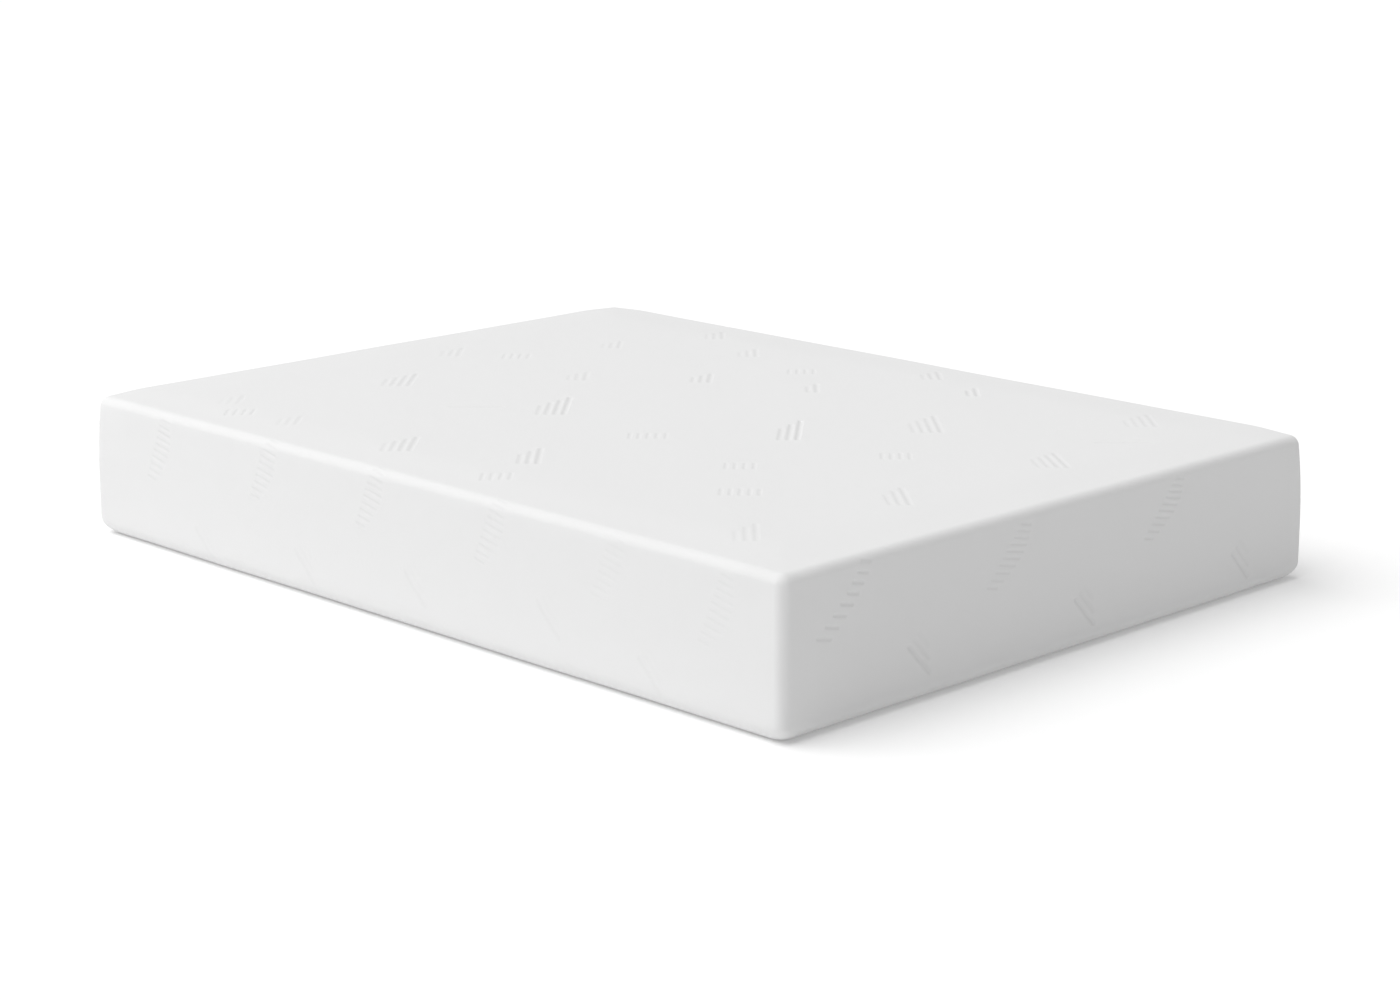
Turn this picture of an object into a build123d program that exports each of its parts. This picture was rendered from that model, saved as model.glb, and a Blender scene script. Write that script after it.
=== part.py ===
"""Memory foam mattress in a zip-off knitted cover: queen size, twelve inches deep.

Millimetres. The origin is the middle of the underside, X runs across the bed, Y runs from the
foot to the head and Z is up. Three glued foam layers sit in a knitted fire sock, and the sock sits
in the cover: a one-piece knitted cap over the top and all four sides, sewn to a flat base panel.
A coil zip opens the cap low down, along the head end and the right-hand side.
"""

import os

from build123d import *

os.makedirs("parts", exist_ok=True)

# Overall size
width = 1524.0
length = 2032.0
height = 305.0
corner_radius = 22.0
top_edge_radius = 20.0
bottom_edge_radius = 21.0
edge_margin = 0.5

# Cloth layers, from the outside in
cover_wall = 2.5
base_thickness = 2.5
sock_gap = 0.3
sock_thickness = 1.0

# Foam layers: the support foam takes what height is left
memory_foam_height = 76.0
comfort_foam_height = 89.0
glue_thickness = 0.4

# Hem: the flat strip of the cap under the mattress, between the rounded edge and the base panel
hem_width = 2.0
base_corner_radius = 12.0

# Zip: how far its middle line is above the rounded lower edge, and where its slot ends,
# measured from the left and foot faces
zip_rise = 31.0
zip_end_margin = 70.0
slot_clearance = 1.0
tape_height = 14.0
tape_thickness = 0.6
tape_setback = 0.2
tape_overrun = 12.0
coil_thickness = 2.2
coil_width = 2.3

# Zip slider
slider_clearance = 0.3
slider_length = 12.0
slider_nose_wall = 1.2
slider_tail_wall = 0.6
slider_shoulder = 5.0
slider_top_thickness = 1.3
slider_base_thickness = 1.0
slider_flange_gap = 0.6
slider_corner_radius = 1.0
slider_end_gap = 1.0
post_length = 3.0
post_thickness = 0.8
post_setback = 0.4
crown_width = 3.0
crown_length = 8.8
crown_wall = 1.3
crown_radius = 1.6

# Zip pull
pull_thickness = 1.4
pull_length = 24.0
pull_rail_width = 1.8
pull_tip_radius = 2.6
pull_hole_radius = 1.3
bar_clearance = 0.25
window_side_clearance = 0.5
window_end_clearance = 0.8

# Tabs over the zip's two ends
tab_thickness = 0.8
tab_length = 22.0
tab_cover = 3.5
tab_overlap = 14.0
tab_corner_radius = 2.0

# Labels, sewn flat on the outside above the zip
label_thickness = 0.4
label_rise = 40.0
law_label_width = 76.0
law_label_height = 102.0
law_label_offset = 420.0
care_label_width = 34.0
care_label_height = 48.0
care_label_offset = 760.0

# Margins for cutting tools and for the channel behind the zip
cut_overrun = 1.0
channel_margin = 2.0
channel_overrun = 8.0

# Plan and levels of the cover
base_inset = bottom_edge_radius + hem_width
zip_height = bottom_edge_radius + zip_rise
label_bottom = zip_height + label_rise

# Widths across the zip, from the post outwards
coil_gap = post_thickness + 2 * slider_clearance
tape_gap = coil_gap + 2 * tape_setback
coil_channel_width = coil_gap + 2 * coil_width + 2 * slider_clearance
slider_nose_width = coil_channel_width + 2 * slider_nose_wall
slider_tail_width = coil_channel_width + 2 * slider_tail_wall
slot_height = slider_nose_width + 2 * slot_clearance
tab_height = slot_height + 2 * tab_cover

# Depths of the stacked layers, measured in from the mattress's outer face
coil_front = cover_wall - coil_thickness
sock_outside = cover_wall + sock_gap
foam_outside = sock_outside + sock_thickness
tape_back = cover_wall + tape_thickness
slider_base_front = tape_back + slider_clearance
slider_base_back = slider_base_front + slider_base_thickness
sock_recess = slider_base_back + 2 * sock_gap
foam_recess = sock_recess + sock_thickness
channel_half_height = tape_gap / 2 + tape_height + channel_margin
channel_end_margin = zip_end_margin - tape_overrun - channel_overrun

# Faces and levels
right_face = width / 2
head_face = length / 2
left_face = -width / 2
foot_face = -length / 2
floor_inside = max(cover_wall, base_thickness) + sock_gap
foam_bottom = floor_inside + sock_thickness
foam_top = height - foam_outside
memory_foam_bottom = foam_top - memory_foam_height
comfort_foam_top = memory_foam_bottom - glue_thickness
comfort_foam_bottom = comfort_foam_top - comfort_foam_height
support_foam_top = comfort_foam_bottom - glue_thickness

# The slider parks with its nose just clear of the tab at the foot end of its side
park_y = foot_face + zip_end_margin + tab_overlap + slider_end_gap + slider_length / 2


def rounded_form(depth, bottom):
    """The mattress's outer form, moved in by depth, with its underside at the level given. An
    upright corner limits the edges that run round it."""
    top_radius = min(top_edge_radius, corner_radius - edge_margin) - depth
    bottom_radius = min(bottom_edge_radius, corner_radius - edge_margin) - depth
    with BuildPart() as form:
        with BuildSketch(Plane.XY.offset(bottom)):
            RectangleRounded(width - 2 * depth, length - 2 * depth, corner_radius - depth)
        extrude(amount=height - depth - bottom)
        fillet(form.faces().sort_by(Axis.Z)[-1].edges(), top_radius)
        fillet(form.faces().sort_by(Axis.Z)[0].edges(), bottom_radius)
    return form.part


def zip_band(outer_depth, inner_depth, low, high, margin):
    """A band that follows the outline along the head end and the right-hand side, where the
    zip runs. Depths are measured in from the outer face; margin is where the band stops, from
    the left face and from the foot face."""
    with BuildPart() as band:
        with BuildSketch(Plane.XY.offset(low)):
            RectangleRounded(
                width - 2 * outer_depth, length - 2 * outer_depth, corner_radius - outer_depth
            )
            RectangleRounded(
                width - 2 * inner_depth,
                length - 2 * inner_depth,
                corner_radius - inner_depth,
                mode=Mode.SUBTRACT,
            )
            with Locations((left_face + margin, foot_face + margin)):
                Rectangle(width, length, align=(Align.MIN, Align.MIN), mode=Mode.INTERSECT)
        extrude(amount=high - low)
    return band.part


def foam_slab(low, high):
    """The slice of the foam core between two levels."""
    with BuildPart() as slab:
        add(foam_form)
        with BuildSketch(Plane.XY.offset(low)):
            Rectangle(2 * width, 2 * length)
        extrude(amount=high - low, mode=Mode.INTERSECT)
    return slab.part


def save(part, name):
    """Label a finished piece and write its STEP file."""
    part.label = name
    export_step(part, f"parts/{name}.step")


# Forms that several pieces are cut from
outer_form = rounded_form(0.0, 0.0)
cover_lining_form = rounded_form(cover_wall, cover_wall)
sock_outer_form = rounded_form(sock_outside, floor_inside)
foam_outer_form = rounded_form(foam_outside, foam_bottom)
zip_slot = zip_band(
    -cut_overrun,
    cover_wall + cut_overrun,
    zip_height - slot_height / 2,
    zip_height + slot_height / 2,
    zip_end_margin,
)
sock_channel = zip_band(
    -cut_overrun,
    sock_recess,
    zip_height - channel_half_height,
    zip_height + channel_half_height,
    channel_end_margin,
)
foam_channel = zip_band(
    -cut_overrun,
    foam_recess,
    zip_height - channel_half_height - sock_thickness,
    zip_height + channel_half_height + sock_thickness,
    channel_end_margin - sock_thickness,
)

# Knitted cap: top and four sides in one piece, with its hem turned under
with BuildPart() as cover_cap:
    add(outer_form)
    add(cover_lining_form, mode=Mode.SUBTRACT)
    with BuildSketch(Plane.XY):
        RectangleRounded(width - 2 * base_inset, length - 2 * base_inset, base_corner_radius)
    extrude(amount=cover_wall + cut_overrun, mode=Mode.SUBTRACT)
    add(zip_slot, mode=Mode.SUBTRACT)
save(cover_cap.part, "cover_cap")

# Base panel: sewn edge to edge into the cap's hem
with BuildPart() as cover_base_panel:
    with BuildSketch(Plane.XY):
        RectangleRounded(width - 2 * base_inset, length - 2 * base_inset, base_corner_radius)
    extrude(amount=base_thickness)
save(cover_base_panel.part, "cover_base_panel")

# Foam core, with a shallow channel behind the zip
with BuildPart() as foam_core:
    add(foam_outer_form)
    add(foam_channel, mode=Mode.SUBTRACT)
foam_form = foam_core.part

# Fire sock: a closed knitted skin around the whole core
with BuildPart() as fire_sock:
    add(sock_outer_form)
    add(sock_channel, mode=Mode.SUBTRACT)
    add(foam_form, mode=Mode.SUBTRACT)
save(fire_sock.part, "fire_sock")

# Foam layers and the glue between them, from the top down
for name, low, high in (
    ("memory_foam_layer", memory_foam_bottom, foam_top),
    ("glue_film_upper", comfort_foam_top, memory_foam_bottom),
    ("comfort_foam_layer", comfort_foam_bottom, comfort_foam_top),
    ("glue_film_lower", support_foam_top, comfort_foam_bottom),
    ("support_foam_layer", foam_bottom, support_foam_top),
):
    save(foam_slab(low, high), name)

# Zip tapes behind the slot's edges, and the coils on the tapes' inner edges, one each side of
# the zip's middle line
for name, side in (("upper", 1), ("lower", -1)):
    tape_edges = sorted(
        (zip_height + side * tape_gap / 2, zip_height + side * (tape_gap / 2 + tape_height))
    )
    tape_margin = zip_end_margin - tape_overrun
    save(zip_band(cover_wall, tape_back, *tape_edges, tape_margin), f"zip_tape_{name}")
    coil_edges = sorted(
        (zip_height + side * coil_gap / 2, zip_height + side * (coil_gap / 2 + coil_width))
    )
    save(zip_band(coil_front, cover_wall, *coil_edges, zip_end_margin), f"zip_coil_{name}")

# Slider: two plates joined by a thin post at the nose, which points to the foot of the bed
plate_outline = (
    (-slider_length / 2, -slider_nose_width / 2),
    (slider_shoulder - slider_length / 2, -slider_nose_width / 2),
    (slider_length / 2, -slider_tail_width / 2),
    (slider_length / 2, slider_tail_width / 2),
    (slider_shoulder - slider_length / 2, slider_nose_width / 2),
    (-slider_length / 2, slider_nose_width / 2),
)
plate_inner_face = right_face - coil_front + slider_clearance
plate_outer_face = plate_inner_face + slider_top_thickness
tape_front = right_face - cover_wall
crown_clear_height = pull_thickness + 2 * bar_clearance
crown_height = crown_clear_height + crown_wall
top_plate_plane = Plane((plate_inner_face, park_y, zip_height), x_dir=(0, 1, 0), z_dir=(1, 0, 0))
base_plate_plane = Plane(
    (right_face - slider_base_back, park_y, zip_height), x_dir=(0, 1, 0), z_dir=(1, 0, 0)
)
crown_plane = Plane((plate_outer_face, park_y, zip_height), x_dir=(1, 0, 0), z_dir=(0, 0, 1))

with BuildPart() as zip_slider:
    with BuildSketch(top_plate_plane) as top_plate:
        Polygon(*plate_outline, align=None)
        fillet(top_plate.vertices(), slider_corner_radius)
    extrude(amount=slider_top_thickness)
    with BuildSketch(top_plate_plane) as flanges:
        add(top_plate.sketch_local)
        Rectangle(2 * slider_length, coil_channel_width, mode=Mode.SUBTRACT)
    extrude(amount=tape_front + slider_flange_gap - plate_inner_face)
    with BuildSketch(base_plate_plane) as base_plate:
        Polygon(*plate_outline, align=None)
        fillet(base_plate.vertices(), slider_corner_radius)
    extrude(amount=slider_base_thickness)
    with BuildSketch(base_plate_plane):
        with Locations((post_setback + (post_length - slider_length) / 2, 0)):
            Rectangle(post_length, post_thickness)
    extrude(amount=plate_inner_face - right_face + slider_base_back)
    with BuildSketch(crown_plane) as crown:
        Rectangle(crown_height, crown_length, align=(Align.MIN, Align.CENTER))
        fillet(crown.vertices().group_by(Axis.X)[-1], crown_radius)
        Rectangle(
            crown_clear_height,
            crown_length - 2 * crown_wall,
            align=(Align.MIN, Align.CENTER),
            mode=Mode.SUBTRACT,
        )
    extrude(amount=crown_width / 2, both=True)
save(zip_slider.part, "zip_slider")

# Pull: a flat tab whose end bar turns under the slider's crown; it lies towards the head
hinge_x = plate_outer_face + crown_clear_height / 2
window_length = crown_length / 2 + window_end_clearance
pull_window_width = crown_width + 2 * window_side_clearance
pull_width = pull_window_width + 2 * pull_rail_width
pull_edge_plane = Plane((hinge_x, park_y, zip_height), x_dir=(0, 1, 0), z_dir=(0, 0, 1))
pull_face_plane = Plane((hinge_x, park_y, zip_height), x_dir=(0, 1, 0), z_dir=(1, 0, 0))

with BuildPart() as zip_pull:
    with BuildSketch(pull_face_plane) as pull_outline:
        with Locations((-pull_thickness / 2, 0)):
            Rectangle(pull_length, pull_width, align=(Align.MIN, Align.CENTER))
        fillet(pull_outline.vertices().group_by(Axis.X)[-1], pull_tip_radius)
        Rectangle(
            window_length, pull_window_width, align=(Align.MIN, Align.CENTER), mode=Mode.SUBTRACT
        )
        with Locations((pull_length - (pull_thickness + pull_width) / 2, 0)):
            Circle(pull_hole_radius, mode=Mode.SUBTRACT)
    extrude(amount=pull_thickness / 2, both=True)
    with BuildSketch(pull_edge_plane):
        with Locations(((pull_length - pull_thickness) / 2, 0)):
            SlotOverall(pull_length, pull_thickness)
    extrude(amount=pull_width / 2, both=True, mode=Mode.INTERSECT)
    with BuildSketch(pull_edge_plane):
        Circle(pull_thickness / 2)
    extrude(amount=pull_width / 2, both=True)
save(zip_pull.part, "zip_pull")

# Cloth tabs sewn over both ends of the zip
side_tab_plane = Plane(
    (right_face, foot_face + zip_end_margin + tab_overlap, zip_height),
    x_dir=(0, -1, 0),
    z_dir=(1, 0, 0),
)
head_tab_plane = Plane(
    (left_face + zip_end_margin + tab_overlap, head_face, zip_height),
    x_dir=(-1, 0, 0),
    z_dir=(0, 1, 0),
)
for name, plane in (("zip_end_tab_side", side_tab_plane), ("zip_end_tab_head", head_tab_plane)):
    with BuildPart() as end_tab:
        with BuildSketch(plane):
            with Locations((tab_length / 2, 0)):
                RectangleRounded(tab_length, tab_height, tab_corner_radius)
        extrude(amount=tab_thickness)
    save(end_tab.part, name)

# Blank labels: the large one on the head end, the small one on the right-hand side, above the zip
label_plane = Plane(
    (law_label_offset, head_face, label_bottom), x_dir=(-1, 0, 0), z_dir=(0, 1, 0)
)
with BuildPart() as law_label:
    with BuildSketch(label_plane):
        Rectangle(law_label_width, law_label_height, align=(Align.CENTER, Align.MIN))
    extrude(amount=label_thickness)
save(law_label.part, "law_label")

care_label_plane = Plane(
    (right_face, -care_label_offset, label_bottom), x_dir=(0, 1, 0), z_dir=(1, 0, 0)
)
with BuildPart() as care_label:
    with BuildSketch(care_label_plane):
        Rectangle(care_label_width, care_label_height, align=(Align.CENTER, Align.MIN))
    extrude(amount=label_thickness)
save(care_label.part, "care_label")
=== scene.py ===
"""Memory foam mattress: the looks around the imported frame.

A one-piece knitted cover with a sparse sunk pattern lies over the foam. A coil zip runs low along
the head end and the right-hand side. Metres, in the frame's own axes: X across the bed, Y towards
the head end, Z up.
"""

import math

import bmesh
import bpy
import numpy as np
from bpy.props import FloatProperty, FloatVectorProperty, IntProperty, PointerProperty
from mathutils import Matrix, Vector
from mathutils.geometry import delaunay_2d_cdt


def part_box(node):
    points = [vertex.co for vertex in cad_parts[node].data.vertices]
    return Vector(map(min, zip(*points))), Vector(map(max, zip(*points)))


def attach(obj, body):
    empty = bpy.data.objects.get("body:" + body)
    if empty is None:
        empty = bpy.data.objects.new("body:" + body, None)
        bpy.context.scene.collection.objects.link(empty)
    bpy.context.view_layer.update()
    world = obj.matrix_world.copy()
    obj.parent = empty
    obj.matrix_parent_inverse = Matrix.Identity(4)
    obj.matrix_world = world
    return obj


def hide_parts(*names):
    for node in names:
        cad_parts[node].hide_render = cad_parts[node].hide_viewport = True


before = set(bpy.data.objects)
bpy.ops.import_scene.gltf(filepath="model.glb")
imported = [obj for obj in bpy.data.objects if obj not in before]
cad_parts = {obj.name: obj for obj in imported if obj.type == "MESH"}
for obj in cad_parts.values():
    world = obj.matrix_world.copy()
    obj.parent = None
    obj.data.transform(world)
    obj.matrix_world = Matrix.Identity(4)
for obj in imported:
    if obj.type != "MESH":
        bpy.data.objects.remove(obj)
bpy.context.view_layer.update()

bl_info = {
    "name": "Memory foam mattress",
    "version": (1, 0, 0),
    "blender": (4, 5, 0),
    "location": "3D View > Sidebar > Mattress",
    "description": "Builds the mattress's knitted cover, zip, labels and stage",
    "category": "Object",
}

HALF_TURN = math.pi
QUARTER_TURN = math.pi / 2
CLOTH_MAP = "cloth"
# Mesh attribute that sets the painted shade in the sunk ribs
GROOVE_SHADE_MASK = "groove"


# ---------------------------------------------------------------- settings


def length_setting(name, description, default):
    """A length in metres."""
    return FloatProperty(name=name, description=description, default=default, unit="LENGTH")


def angle_setting(name, description, degrees):
    """An angle, from its default in degrees."""
    return FloatProperty(
        name=name, description=description, default=math.radians(degrees), subtype="ANGLE"
    )


def colour_setting(name, description, *rgb):
    """A colour."""
    return FloatVectorProperty(
        name=name, description=description, default=rgb, min=0, max=1, subtype="COLOR"
    )


def place_setting(name, description, *xyz):
    """A place in space."""
    return FloatVectorProperty(name=name, description=description, default=xyz, subtype="XYZ")


class MattressForm(bpy.types.PropertyGroup):
    """The cover's rounded edges and how the soft foam gives at them"""

    top_edge_radius: length_setting("Top edge", "Radius of the top edge", 0.020)
    lower_edge_radius: length_setting("Lower edge", "Radius of the lower edge", 0.036)
    hem_corner_radius: length_setting("Hem corner", "Radius of the corners underneath", 0.030)
    corner_radius: length_setting("Corner", "Radius of the upright corners", 0.022)
    hem_width: length_setting("Hem", "Flat strip under the mattress", 0.002)
    cloth_thickness: length_setting("Cloth", "Thickness of the knitted cover", 0.0025)
    side_pull: length_setting("Side pull", "How far the sides lean in at the top", 0.003)
    corner_pull: length_setting("Corner pull", "How far the corners pull in at the top", 0.006)
    edge_droop: length_setting("Crown", "How far the top falls towards its edges", 0.0045)
    corner_droop: length_setting("Corner droop", "How far the top corners drop", 0.0035)
    give_from: length_setting("Give from", "Height where the sides start to lean", 0.12)
    give_reach: length_setting("Give reach", "How far in from a face the give is felt", 0.16)
    corner_reach: length_setting(
        "Corner reach", "How far in from a corner its give is felt", 0.13
    )


class KnitPattern(bpy.types.PropertyGroup):
    """The pattern of short sunk ribs in the knitted cover, and its colours"""

    groove_width: length_setting("Groove width", "Width of one sunk rib", 0.012)
    groove_depth: length_setting("Groove depth", "Depth of one sunk rib", 0.0010)
    groove_pitch: length_setting("Groove pitch", "Distance between sunk ribs", 0.018)
    comb_length: length_setting("Comb length", "Longest rib of a comb", 0.145)
    leaf_length: length_setting("Leaf length", "Length of a leaf's middle line", 0.14)
    leaf_ribs: IntProperty(name="Leaf ribs", description="Ribs in one leaf", default=7, min=2)
    point_spacing: length_setting("Mesh spacing", "Spacing of mesh points on plain cloth", 0.015)
    yarn_colour: colour_setting("Yarn", "Colour of the knitted cover", 0.80, 0.80, 0.80)
    # Painted shade: the sunk ribs are coloured greyer than the yarn
    sunk_shade_colour: colour_setting("Sunk yarn", "Colour in the sunk ribs", 0.74, 0.74, 0.74)


class ZipStyle(bpy.types.PropertyGroup):
    """The coil zip and its stitching"""

    slot_height: length_setting("Slot", "Opening between the cover's two edges", 0.011)
    coil_pitch: length_setting("Coil pitch", "Distance between turns of a coil", 0.0018)
    coil_wire: length_setting("Coil wire", "Thickness of the coil's wire", 0.0007)
    stitch_length: length_setting("Stitch", "Length of one stitch", 0.0038)
    stitch_gap: length_setting("Stitch gap", "Gap between two stitches", 0.0010)
    thread_width: length_setting("Thread", "Thickness of the sewing thread", 0.0007)


class Finish(bpy.types.PropertyGroup):
    """Colours of the parts other than the knitted cover"""

    base_cloth: colour_setting("Base cloth", "Colour of the cloth underneath", 0.62, 0.62, 0.61)
    sock: colour_setting("Fire sock", "Colour of the knitted inner barrier", 0.78, 0.76, 0.70)
    memory_foam: colour_setting("Memory foam", "Colour of the top foam", 0.82, 0.80, 0.72)
    comfort_foam: colour_setting("Comfort foam", "Colour of the middle foam", 0.74, 0.77, 0.80)
    support_foam: colour_setting("Support foam", "Colour of the lower foam", 0.78, 0.78, 0.76)
    glue: colour_setting("Glue", "Colour of the glue between the foams", 0.72, 0.66, 0.48)
    zip_tape: colour_setting("Zip tape", "Colour of the zip's tapes", 0.74, 0.74, 0.74)
    zip_coil: colour_setting("Zip coil", "Colour of the zip's coil", 0.70, 0.70, 0.70)
    zip_metal: colour_setting(
        "Zip slider", "Colour of the slider and its pull", 0.62, 0.62, 0.63
    )
    label: colour_setting("Label", "Colour of the labels", 0.80, 0.80, 0.79)
    thread: colour_setting("Thread", "Colour of the sewing thread", 0.72, 0.72, 0.71)


class StudioStage(bpy.types.PropertyGroup):
    """Floor, lights and camera"""

    floor_colour: colour_setting("Floor", "Colour of the floor", 0.83, 0.83, 0.83)
    # Painted light: the floor itself glows, though it is no lamp, and this lifts the shadows cast
    # on it
    floor_glow: FloatProperty(
        name="Floor glow", description="Light from the floor itself, as from a lit table",
        default=0.16,
    )
    sky_strength: FloatProperty(name="Sky", description="Light from all round", default=0.36)
    key_strength: FloatProperty(name="Key", description="Light from the left", default=2.45)
    key_azimuth: angle_setting("Key azimuth", "Where the key light stands", -128.0)
    key_elevation: angle_setting("Key elevation", "How high the key light stands", 63.0)
    key_spread: angle_setting("Key spread", "How wide the key light looks", 70.0)
    fill_power: FloatProperty(
        name="Fill", description="Light near the left end", default=12.0, unit="POWER"
    )
    fill_place: place_setting("Fill place", "Where the fill light stands", -2.6, 2.4, 2.2)
    fill_size: length_setting("Fill size", "Width of the fill light", 2.0)
    camera_azimuth: angle_setting("Camera azimuth", "Turn about the mattress", -44.76)
    camera_elevation: angle_setting("Camera elevation", "Height angle above the floor", 14.12)
    camera_distance: length_setting("Camera distance", "From the camera to its aim", 6.307)
    camera_aim: place_setting(
        "Camera aim", "Point that the camera looks at", 0.0451, -0.0059, 0.1096
    )
    camera_lens: FloatProperty(name="Lens", description="Focal length in mm", default=77.66)


# ---------------------------------------------------------------- the cover's form

# Steps of the rounding of the top edge and of the lower edge
EDGE_STEPS = 25


def smooth_step(share):
    """0 below 0, 1 above 1 and a smooth rise between."""
    share = np.clip(share, 0.0, 1.0)
    return share * share * (3.0 - 2.0 * share)


def distances(spots):
    """How far along a line of spots each one lies."""
    steps = np.linalg.norm(np.diff(spots, axis=0), axis=1)
    return np.concatenate([[0.0], np.cumsum(steps)])


class CoverForm:
    """Where the cover's outer face lies, worked out from places on the flat cloth.

    The cloth is thought of as laid out flat around the top. A place on it is (u, v), in metres
    from the middle of the top. Past the flat part of the top the cloth rolls over the edge, down
    the side and under, and a place's run is how far past the flat part it lies.
    """

    def __init__(self, form):
        low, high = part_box("cover_cap")
        self.form = form
        self.half = np.array([(high.x - low.x) / 2, (high.y - low.y) / 2])
        self.base, self.top = low.z, high.z
        self.inner = self.half - form.corner_radius
        self.start = form.corner_radius - form.top_edge_radius
        edge, lower = form.top_edge_radius, form.lower_edge_radius
        turn = np.linspace(0.0, QUARTER_TURN, EDGE_STEPS)
        under = smooth_step(turn / QUARTER_TURN)
        self.inset = np.concatenate(
            [edge * (1.0 - np.sin(turn)), lower * (1.0 - np.cos(turn)), [lower + form.hem_width]]
        )
        self.level = np.concatenate(
            [
                self.top - edge * (1.0 - np.cos(turn)),
                self.base + lower * (1.0 - np.sin(turn)),
                [self.base],
            ]
        )
        self.rounding = np.concatenate(
            [
                self.start + edge * np.sin(turn),
                form.corner_radius + (form.hem_corner_radius - form.corner_radius) * under,
                [form.hem_corner_radius],
            ]
        )
        self.runs = distances(np.column_stack([self.inset, self.level]))
        self.last_run = self.runs[-1]
        top_end, low_start, low_end = self.runs[[EDGE_STEPS - 1, EDGE_STEPS, 2 * EDGE_STEPS - 1]]
        self.turn_runs = [0.0, top_end, low_start, low_end]
        self.turn_angles = [0.0, QUARTER_TURN, QUARTER_TURN, HALF_TURN]

    def run_at_height(self, height):
        """The run of the cloth on the side at a height above the underside."""
        return float(np.interp(-height, -self.level, self.runs))

    def locate(self, cloth):
        """For places on the cloth: run, outward direction in plan, and the nearest point of
        the edge of the flat part."""
        beyond = np.abs(cloth) - self.inner
        side = np.where(cloth < 0, -1.0, 1.0)
        past = np.maximum(beyond, 0.0)
        cornered = (beyond > 0).all(axis=1)
        distance = np.where(cornered, np.hypot(past[:, 0], past[:, 1]), beyond.max(axis=1))
        outward = np.zeros_like(cloth)
        outward[np.arange(len(cloth)), beyond.argmax(axis=1)] = 1.0
        outward[cornered] = past[cornered] / np.maximum(distance[cornered], 1e-9)[:, None]
        edge_point = np.where(outward > 0, self.inner + outward * self.start, np.abs(cloth))
        return distance - self.start, outward * side, edge_point * side

    def rest(self, cloth, raised=0.0):
        """Points on the cover's outer face before the foam gives, moved out along the normal by
        raised, and the normals."""
        run, outward, _ = self.locate(cloth)
        over = run > 0
        inset = np.interp(run, self.runs, self.inset)[:, None]
        rounding = np.interp(run, self.runs, self.rounding)[:, None]
        centre = self.half - inset - rounding
        folded = centre * np.minimum(np.abs(cloth) / self.inner, 1.0) + rounding * np.abs(outward)
        plan = np.where(over[:, None], np.sign(cloth) * folded, cloth)
        level = np.where(over, np.interp(run, self.runs, self.level), self.top)
        angle = np.interp(run, self.turn_runs, self.turn_angles)
        normal = np.column_stack([outward * np.sin(angle)[:, None], np.cos(angle)])
        return np.column_stack([plan, level]) + normal * np.reshape(raised, (-1, 1)), normal

    def place(self, cloth, raised=0.0):
        """Points on the cover's outer face with the foam's give, and their normals."""
        spot, normal = self.rest(cloth, raised)
        return self.give(spot), normal

    def give(self, spot):
        """The foam's give: sides lean in towards the top, and the top falls to its edges and
        corners."""
        form = self.form
        share = np.clip((spot[:, 2] - form.give_from) / (self.top - form.give_from), 0.0, 1.0)
        inset = self.half - np.abs(spot[:, :2])
        near = smooth_step(1.0 - inset / form.give_reach)
        corner = smooth_step(1.0 - inset / form.corner_reach).prod(axis=1)
        pull = form.side_pull * share**2 + form.corner_pull * corner * share**2
        moved = spot.copy()
        moved[:, :2] -= np.sign(spot[:, :2]) * near * pull[:, None]
        moved[:, 2] -= share**2 * (form.edge_droop * near.max(axis=1) + form.corner_droop * corner)
        return moved

    def weave(self, cloth):
        """Texture coordinates: the flat cloth, with the corners gathered to their real width."""
        beyond = np.abs(cloth) - self.inner
        side = np.where(cloth < 0, -1.0, 1.0)
        cornered = (beyond > 0).all(axis=1)
        past = np.maximum(beyond, 0.0)
        distance = np.hypot(past[:, 0], past[:, 1])
        angle = np.arctan2(past[:, 0], past[:, 1])
        width = np.minimum(distance, self.form.corner_radius)
        to_end = np.column_stack([width * angle, distance])
        to_side = np.column_stack([distance, width * (QUARTER_TURN - angle)])
        gathered = np.where((angle < QUARTER_TURN / 2)[:, None], to_end, to_side)
        return np.where(cornered[:, None], side * (self.inner + gathered), cloth)


class Side:
    """One upright side of the cover: turns places on it, seen from outside, into cloth."""

    def __init__(self, form, right, up):
        self.form = form
        self.right, self.up = np.array(right, float), np.array(up, float)
        self.flat = form.inner + form.start
        self.width = 2.0 * float(np.abs(self.right) @ form.half)

    def cloth(self, along, height):
        """The cloth at a distance from the side's left end and a height."""
        run = self.form.run_at_height(height)
        middle = -self.up * (float(np.abs(self.up) @ self.flat) + run)
        return middle + self.right * (along - self.width / 2.0)

    def towards(self, lean):
        """The direction on the flat cloth that leans by an angle from the side's right."""
        return math.cos(lean) * self.right + math.sin(lean) * self.up

    def span(self, low, high):
        """Where a box starts and ends along the side, from the side's left end."""
        corners = np.array([low[:2], high[:2]])
        ends = corners @ self.right + self.width / 2.0
        return float(ends.min()), float(ends.max())


def cover_sides(form):
    """The four sides by name, each with its right and up directions on the flat cloth."""
    return {
        "foot": Side(form, (1, 0), (0, 1)),
        "left": Side(form, (0, -1), (1, 0)),
        "head": Side(form, (-1, 0), (0, -1)),
        "right": Side(form, (0, 1), (-1, 0)),
    }


# ---------------------------------------------------------------- the knitted pattern

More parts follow.
